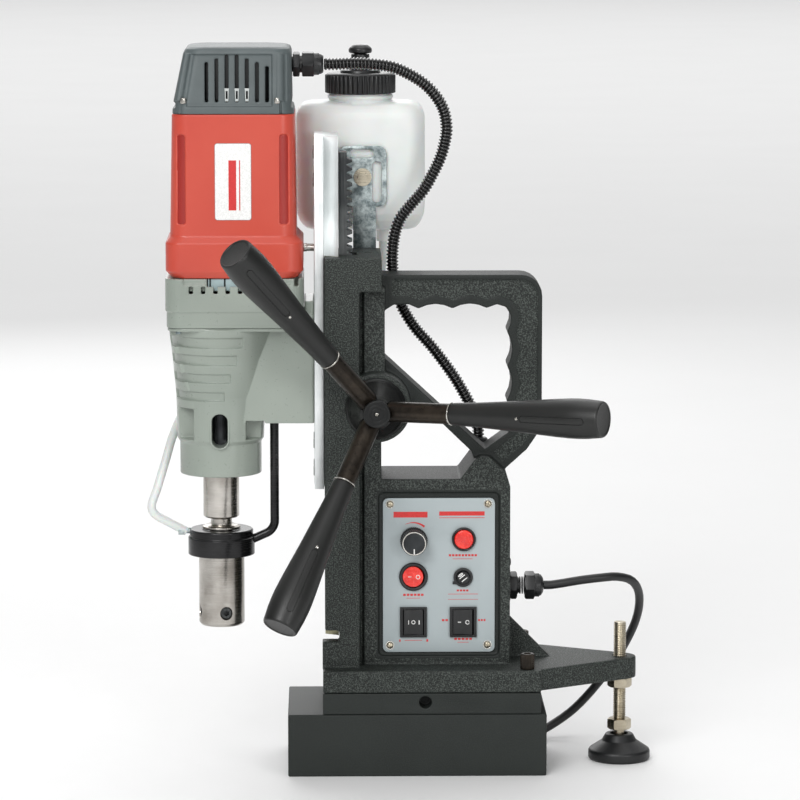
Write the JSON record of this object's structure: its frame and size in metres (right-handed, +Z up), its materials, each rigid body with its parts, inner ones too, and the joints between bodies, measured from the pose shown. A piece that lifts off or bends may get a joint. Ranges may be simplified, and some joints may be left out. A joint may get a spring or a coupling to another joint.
{
  "type": "magnetic drill press",
  "caption": "Portable magnetic-base drill press with rack-fed motor carriage, cross levers, control panel, coolant bottle, outrigger foot and mains lead.",
  "frame": {"origin": "centre of the electromagnet's bottom face, where it sits on the work", "axes": "+X from the spindle towards the outrigger arm, +Y away from the control panel, +Z up"},
  "size_m": [0.4033, 0.3524, 0.5766],
  "materials": {
    "black_paint": "black wrinkle powder coat",
    "magnet_paint": "satin black paint",
    "resin": "potting resin, satin",
    "brass": "milled",
    "bronze": "turned bronze",
    "panel": "silver grey printed plate",
    "black_plastic": "moulded, semi gloss",
    "red_plastic": "moulded, glossy",
    "board": "circuit board",
    "rubber": "matt rubber",
    "grip": "moulded black plastic, satin",
    "anodised": "milled and anodised",
    "steel": "ground",
    "dark_steel": "oiled dark steel",
    "black_steel": "black oxide, satin",
    "nickel": "nickel plated",
    "zinc": "galvanised, spangled",
    "gearbox_paint": "grey-green painted casting",
    "red_paint": "satin red housing",
    "cap_plastic": "charcoal moulded plastic",
    "bottle": "translucent white polyethylene",
    "clear_tube": "clear flexible hose",
    "windings": "steel laminations with copper windings"
  },
  "bodies": {
    "frame": {"magnet_housing": "magnet_paint", "magnet_coil": "resin", "base_plate": "magnet_paint", "frame_casting": "black_paint", "base_bolt_front": "black_steel", "base_bolt_rear": "black_steel", "gib_strip": "brass", "rear_cover": "black_paint", "shaft_bush_front": "bronze", "shaft_bush_rear": "bronze", "control_panel": "panel", "lamp_bezel": "black_plastic", "lamp_lens": "red_plastic", "magnet_switch_frame": "black_plastic", "direction_switch_frame": "black_plastic", "motor_switch_frame": "black_plastic", "fuse_holder": "black_plastic", "control_board": "board", "mains_gland": "black_plastic", "box_gland": "black_plastic", "mains_cord": "rubber", "mains_cord_coil": "rubber", "mains_plug": "black_plastic", "stud_lock_nut": "nickel", "bottle_bracket": "zinc", "coolant_bottle": "bottle", "conduit": "rubber", "coolant_tube": "clear_tube"},
    "carriage": {"slide_plate": "anodised", "rack": "dark_steel", "gearbox_nose": "gearbox_paint", "gearbox_housing": "gearbox_paint", "motor_housing": "red_paint", "motor_end_cap": "cap_plastic", "motor_gland": "black_plastic", "stator": "windings", "ring_stay": "black_steel", "coolant_ring": "black_steel"},
    "feed": {"pinion_shaft": "steel", "feed_hub": "black_steel", "lever_rod_1": "black_steel", "lever_rod_2": "black_steel", "lever_rod_3": "black_steel", "lever_grip_1": "grip", "lever_grip_2": "grip", "lever_grip_3": "grip"},
    "spindle_set": {"spindle": "steel", "arbor_chuck": "steel", "spindle_gear": "steel"},
    "intermediate_set": {"intermediate_gear": "steel"},
    "rotor": {"armature": "windings"},
    "magnet_button": {"magnet_rocker": "red_plastic"},
    "direction_button": {"direction_rocker": "black_plastic"},
    "motor_button": {"motor_rocker": "black_plastic"},
    "knob": {"speed_knob": "black_plastic"},
    "fuse": {"fuse_cap": "black_plastic"},
    "stud": {"levelling_stud": "nickel"},
    "pad": {"foot_pad": "rubber"},
    "cap": {"bottle_cap": "black_plastic"},
    "valve": {"vent_valve": "black_plastic"}
  },
  "joints": [
    {"name": "carriage_slide", "type": "slide", "parent": "frame", "child": "carriage", "axis": [0, 0, 1], "range_m": [-0.11, 0.03], "deforming": ["conduit", "coolant_tube"]},
    {"name": "feed_turn", "type": "hinge", "parent": "frame", "child": "feed", "pos_m": [-0.0324, 0, 0.2934], "axis": [0, 1, 0], "range_deg": [-316, 87]},
    {"name": "rotor_turn", "type": "hinge", "parent": "carriage", "child": "rotor", "pos_m": [-0.143, 0, 0.46], "axis": [0, 0, 1], "continuous": true},
    {"name": "intermediate_turn", "type": "hinge", "parent": "carriage", "child": "intermediate_set", "pos_m": [-0.13939, 0.02524, 0.35], "axis": [0, 0, 1], "continuous": true},
    {"name": "spindle_turn", "type": "hinge", "parent": "carriage", "child": "spindle_set", "pos_m": [-0.1556, 0, 0.25], "axis": [0, 0, 1], "continuous": true},
    {"name": "magnet_switch_rock", "type": "hinge", "parent": "frame", "child": "magnet_button", "pos_m": [-0.0027, -0.027, 0.1562], "axis": [0, 0, 1], "range_deg": [0, 12]},
    {"name": "direction_switch_rock", "type": "hinge", "parent": "frame", "child": "direction_button", "pos_m": [-0.0027, -0.027, 0.1195], "axis": [0, 0, 1], "range_deg": [-8, 8]},
    {"name": "motor_switch_rock", "type": "hinge", "parent": "frame", "child": "motor_button", "pos_m": [0.0369, -0.027, 0.1195], "axis": [0, 0, 1], "range_deg": [0, 12]},
    {"name": "speed_knob_turn", "type": "hinge", "parent": "frame", "child": "knob", "pos_m": [-0.0024, -0.0286, 0.1854], "axis": [0, 1, 0], "range_deg": [-150, 150]},
    {"name": "fuse_cap_turn", "type": "hinge", "parent": "frame", "child": "fuse", "pos_m": [0.0368, -0.0286, 0.1556], "axis": [0, 1, 0], "range_deg": [-45, 0]},
    {"name": "stud_adjust", "type": "slide", "parent": "frame", "child": "stud", "axis": [0, 0, 1], "range_m": [0, 0.025]},
    {"name": "pad_tilt", "type": "hinge", "parent": "stud", "child": "pad", "pos_m": [0.1645, 0.006, 0.0142], "axis": [1, 0, 0], "range_deg": [-8, 8]},
    {"name": "bottle_cap_turn", "type": "hinge", "parent": "frame", "child": "cap", "pos_m": [-0.0434, 0.0775, 0.54], "axis": [0, 0, 1], "range_deg": [0, 270]},
    {"name": "vent_valve_slide", "type": "slide", "parent": "cap", "child": "valve", "axis": [0, 0, 1], "range_m": [0, 0.004]}
  ],
  "couplings": [
    {"joint": "feed_turn", "follows": "carriage_slide", "rad_per_m": 50},
    {"joint": "intermediate_turn", "follows": "rotor_turn", "ratio": -0.30769},
    {"joint": "spindle_turn", "follows": "rotor_turn", "ratio": 0.13187}
  ]
}
